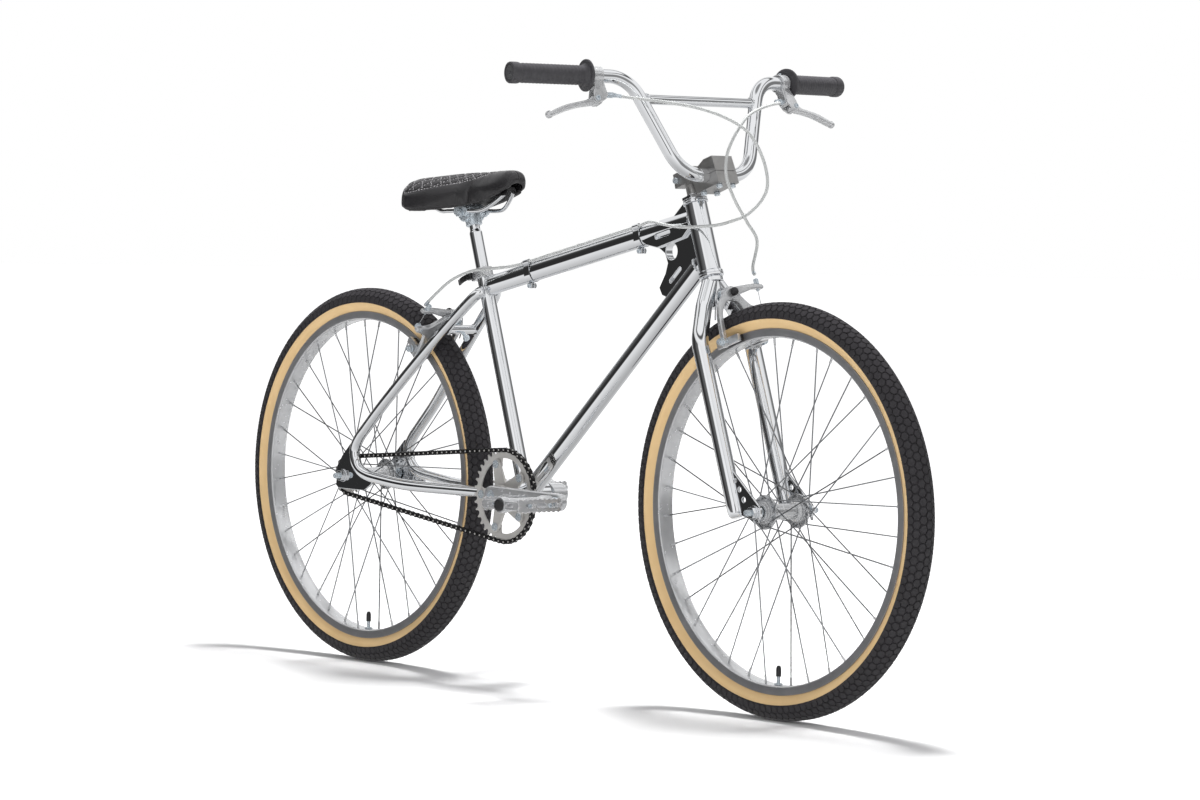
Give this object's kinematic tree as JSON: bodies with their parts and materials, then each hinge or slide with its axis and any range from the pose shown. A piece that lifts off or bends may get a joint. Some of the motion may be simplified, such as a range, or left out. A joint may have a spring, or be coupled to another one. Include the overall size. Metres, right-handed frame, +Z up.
{
  "type": "bmx bike",
  "caption": "Cruiser-size motocross bicycle: looped rear frame, wide braced handlebar, side-pull rim brakes, single-speed chain drive and skinwall tyres.",
  "frame": {"origin": "on the ground, halfway between the axles, on the centre plane", "axes": "+X forward, +Y to the rider's left, +Z up"},
  "size_m": [1.708, 0.7092, 1.0281],
  "materials": {
    "chrome": "mirror",
    "polished_alloy": "polished",
    "satin_alloy": "satin",
    "cable_housing": "gloss",
    "black_steel": "dark",
    "grip_rubber": "matt",
    "tyre": "matt tread with tan sidewalls",
    "tube_rubber": "matt",
    "spoke_steel": "bright",
    "saddle_vinyl": "gloss grain",
    "saddle_shell": "matt"
  },
  "bodies": {
    "frame": {"head_tube": "chrome", "top_tube": "chrome", "down_tube": "chrome", "seat_tube": "chrome", "bottom_bracket_shell": "chrome", "head_gussets": "chrome", "loop_stays": "chrome", "rear_dropouts": "chrome", "headset_cups": "chrome", "bottom_bracket_cups": "polished_alloy", "seat_collar": "polished_alloy", "rear_axle": "chrome", "rear_axle_nuts": "chrome", "rear_brake_bolt": "chrome", "cable_clips": "polished_alloy", "rear_brake_cable": "cable_housing", "chain": "black_steel"},
    "steering": {"fork": "chrome", "headset_locknut": "chrome", "stem_block": "satin_alloy", "stem_cap": "satin_alloy", "stem_bolts": "chrome", "handlebar": "chrome", "grips": "grip_rubber", "lever_brackets": "polished_alloy", "front_axle": "chrome", "front_axle_nuts": "chrome", "front_brake_bolt": "chrome", "front_brake_cable": "cable_housing"},
    "lever_right": {"brake_lever_right": "polished_alloy"},
    "lever_left": {"brake_lever_left": "polished_alloy"},
    "front_caliper_right": {"front_brake_arm_right": "polished_alloy"},
    "front_caliper_left": {"front_brake_arm_left": "polished_alloy"},
    "rear_caliper_right": {"rear_brake_arm_right": "polished_alloy"},
    "rear_caliper_left": {"rear_brake_arm_left": "polished_alloy"},
    "front_wheel": {"front_tyre": "tyre", "front_inner_tube": "tube_rubber", "front_rim": "polished_alloy", "front_spokes": "spoke_steel", "front_hub": "polished_alloy"},
    "rear_wheel": {"rear_tyre": "tyre", "rear_inner_tube": "tube_rubber", "rear_rim": "polished_alloy", "rear_spokes": "spoke_steel", "rear_hub": "polished_alloy"},
    "freewheel_cog": {"freewheel": "black_steel"},
    "crankset": {"chainring": "satin_alloy", "chainring_bolts": "chrome", "crank_arm_right": "polished_alloy", "crank_arm_left": "polished_alloy", "crank_spindle": "chrome", "pedal_axles": "chrome"},
    "right_pedal": {"pedal_right": "polished_alloy"},
    "left_pedal": {"pedal_left": "polished_alloy"},
    "seat": {"seat_post": "chrome", "seat_clamp": "satin_alloy", "saddle_rails": "chrome", "saddle_cover": "saddle_vinyl", "saddle_base": "saddle_shell"},
    "seat_lever": {"seat_qr_lever": "polished_alloy"}
  },
  "joints": [
    {"name": "steer", "type": "hinge", "parent": "frame", "child": "steering", "pos_m": [0.335, 0, 0.752], "axis": [-0.3256, 0, 0.9455], "range_deg": [-60, 60], "deforming": ["rear_brake_cable"]},
    {"name": "front_wheel_spin", "type": "hinge", "parent": "steering", "child": "front_wheel", "pos_m": [0.527, 0, 0.327], "axis": [0, 1, 0], "continuous": true},
    {"name": "rear_wheel_spin", "type": "hinge", "parent": "frame", "child": "rear_wheel", "pos_m": [-0.527, 0, 0.327], "axis": [0, 1, 0], "continuous": true},
    {"name": "crank_spin", "type": "hinge", "parent": "frame", "child": "crankset", "pos_m": [-0.09764, 0, 0.316], "axis": [0, 1, 0], "continuous": true, "deforming": ["chain"]},
    {"name": "freewheel_spin", "type": "hinge", "parent": "frame", "child": "freewheel_cog", "pos_m": [-0.527, 0, 0.327], "axis": [0, 1, 0], "continuous": true},
    {"name": "right_pedal_spin", "type": "hinge", "parent": "crankset", "child": "right_pedal", "pos_m": [0.07236, -0.14, 0.316], "axis": [0, 1, 0], "continuous": true},
    {"name": "left_pedal_spin", "type": "hinge", "parent": "crankset", "child": "left_pedal", "pos_m": [-0.26764, 0.14, 0.316], "axis": [0, 1, 0], "continuous": true},
    {"name": "right_lever_pull", "type": "hinge", "parent": "steering", "child": "lever_right", "pos_m": [0.31273, -0.21009, 0.96365], "axis": [-0.8912, 0.1515, -0.4275], "range_deg": [0, 24], "stiffness_Nm_per_rad": 0.6},
    {"name": "left_lever_pull", "type": "hinge", "parent": "steering", "child": "lever_left", "pos_m": [0.31273, 0.21009, 0.96365], "axis": [0.8912, 0.1515, 0.4275], "range_deg": [0, 24], "stiffness_Nm_per_rad": 0.6},
    {"name": "front_right_arm_close", "type": "hinge", "parent": "steering", "child": "front_caliper_right", "pos_m": [0.36886, 0, 0.65367], "axis": [0.9455, 0, 0.3256], "range_deg": [0, 1.55]},
    {"name": "front_left_arm_close", "type": "hinge", "parent": "steering", "child": "front_caliper_left", "pos_m": [0.36886, 0, 0.65367], "axis": [0.9455, 0, 0.3256], "range_deg": [-1.55, 0]},
    {"name": "rear_left_arm_close", "type": "hinge", "parent": "frame", "child": "rear_caliper_left", "pos_m": [-0.279, 0, 0.588], "axis": [-0.742, 0, 0.6704], "range_deg": [0, 1.55]},
    {"name": "rear_right_arm_close", "type": "hinge", "parent": "frame", "child": "rear_caliper_right", "pos_m": [-0.279, 0, 0.588], "axis": [-0.742, 0, 0.6704], "range_deg": [-1.55, 0]},
    {"name": "seat_height", "type": "slide", "parent": "frame", "child": "seat", "axis": [-0.3125, 0, 0.9499], "range_m": [-0.055, 0.07]},
    {"name": "seat_lever_open", "type": "hinge", "parent": "frame", "child": "seat_lever", "pos_m": [-0.23551, -0.017, 0.67913], "axis": [-0.3125, 0, 0.9499], "range_deg": [0, 150]}
  ],
  "couplings": [
    {"joint": "freewheel_spin", "follows": "crank_spin", "ratio": 2.375},
    {"joint": "front_right_arm_close", "follows": "left_lever_pull", "ratio": 0.0625},
    {"joint": "front_left_arm_close", "follows": "left_lever_pull", "ratio": -0.0625},
    {"joint": "rear_left_arm_close", "follows": "right_lever_pull", "ratio": 0.0625},
    {"joint": "rear_right_arm_close", "follows": "right_lever_pull", "ratio": -0.0625}
  ]
}
